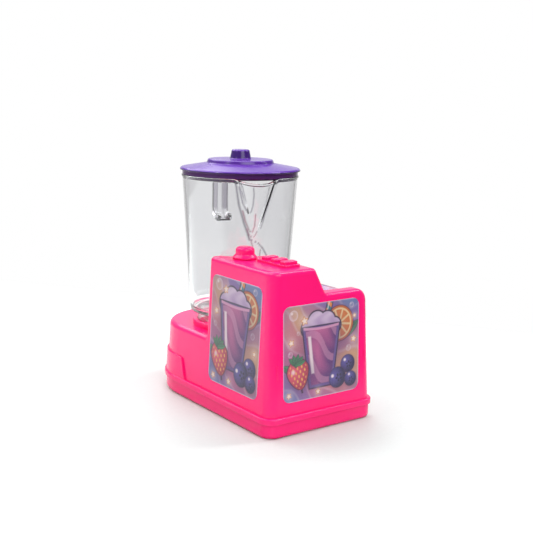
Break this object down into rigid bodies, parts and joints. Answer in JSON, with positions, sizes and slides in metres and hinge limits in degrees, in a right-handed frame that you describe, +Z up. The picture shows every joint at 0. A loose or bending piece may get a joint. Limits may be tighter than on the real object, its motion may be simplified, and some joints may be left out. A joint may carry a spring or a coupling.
{
  "type": "toy blender",
  "caption": "Toy blender with a stepped housing, a clear jar with a spout and handle, a lift-off lid, push keys, a turning selector and a battery drive for the agitator.",
  "frame": {"origin": "middle of the base's underside, in the plane it stands on", "axes": "+Z up, +X to the right along the short near side, +Y away along the base towards the jar"},
  "size_m": [0.105, 0.184, 0.2013],
  "materials": {
    "pink_shell": "glossy moulded",
    "clear_jar": "clear moulded",
    "purple_lid": "glossy moulded",
    "key_plastic": "gloss moulded",
    "label_film": "printed film",
    "screw_steel": "zinc plated",
    "contact_metal": "nickel plated",
    "spring_steel": "bright wire",
    "cell_jacket": "printed jacket",
    "motor_steel": "plated",
    "motor_cap": "moulded",
    "shaft_steel": "ground",
    "brass": "turned",
    "gear_nylon": "moulded",
    "frame_plastic": "moulded",
    "white_plastic": "moulded",
    "board": "pressed laminate",
    "dome_steel": "stamped",
    "control_plastic": "moulded"
  },
  "bodies": {
    "root": {"upper_housing": "pink_shell", "base_tray": "pink_shell", "battery_door": "pink_shell", "side_label": "label_film", "end_label": "label_film", "front_label": "label_film", "housing_screws": "screw_steel", "gear_plate_screws": "screw_steel", "motor_screws": "screw_steel", "key_guide_screws": "screw_steel", "switch_board_screws": "screw_steel", "door_screw": "screw_steel", "contact_bridge": "contact_metal", "contact_tabs": "contact_metal", "contact_springs": "spring_steel", "low_key_spring": "spring_steel", "medium_key_spring": "spring_steel", "high_key_spring": "spring_steel", "battery_cells": "cell_jacket", "motor_can": "motor_steel", "motor_cap": "motor_cap", "lower_bush": "brass", "upper_bush": "brass", "control_nut": "brass", "gear_plate": "frame_plastic", "key_guide": "frame_plastic", "switch_board": "board", "switch_domes": "dome_steel", "rotary_control": "control_plastic"},
    "jar": {"jar": "clear_jar", "agitator_bush": "brass"},
    "lid": {"lid": "purple_lid"},
    "agitator": {"agitator_shaft": "shaft_steel", "driven_dog": "gear_nylon", "agitator_blades": "white_plastic"},
    "drive": {"drive_spindle": "shaft_steel", "drive_gear": "gear_nylon", "drive_dog": "gear_nylon"},
    "rotor": {"motor_shaft": "shaft_steel", "motor_pinion": "brass"},
    "selector": {"turn_knob": "key_plastic", "control_shaft": "control_plastic"},
    "low_key": {"low_key": "key_plastic"},
    "medium_key": {"medium_key": "key_plastic"},
    "high_key": {"high_key": "key_plastic"}
  },
  "joints": [
    {"name": "jar_lift", "type": "slide", "parent": "root", "child": "jar", "axis": [0, 0, 1], "range_m": [0, 0.04]},
    {"name": "lid_lift", "type": "slide", "parent": "jar", "child": "lid", "axis": [0, 0, 1], "range_m": [0, 0.03]},
    {"name": "drive_spin", "type": "hinge", "parent": "root", "child": "drive", "pos_m": [0, 0.024, 0.047], "axis": [0, 0, 1], "continuous": true},
    {"name": "rotor_spin", "type": "hinge", "parent": "root", "child": "rotor", "pos_m": [0, 0.006, 0.03], "axis": [0, 0, 1], "continuous": true},
    {"name": "agitator_spin", "type": "hinge", "parent": "jar", "child": "agitator", "pos_m": [0, 0.024, 0.073], "axis": [0, 0, 1], "continuous": true},
    {"name": "selector_turn", "type": "hinge", "parent": "root", "child": "selector", "pos_m": [-0.028, -0.025, 0.122], "axis": [0, 0, -1], "range_deg": [0, 270]},
    {"name": "low_key_press", "type": "slide", "parent": "root", "child": "low_key", "axis": [0, 0, -1], "range_m": [0, 0.0016], "stiffness_N_per_m": 400, "springref_m": -0.001, "deforming": ["low_key_spring"]},
    {"name": "medium_key_press", "type": "slide", "parent": "root", "child": "medium_key", "axis": [0, 0, -1], "range_m": [0, 0.0016], "stiffness_N_per_m": 400, "springref_m": -0.001, "deforming": ["medium_key_spring"]},
    {"name": "high_key_press", "type": "slide", "parent": "root", "child": "high_key", "axis": [0, 0, -1], "range_m": [0, 0.0016], "stiffness_N_per_m": 400, "springref_m": -0.001, "deforming": ["high_key_spring"]}
  ],
  "couplings": [
    {"joint": "rotor_spin", "follows": "drive_spin", "ratio": -5},
    {"joint": "agitator_spin", "follows": "drive_spin", "ratio": 1}
  ]
}
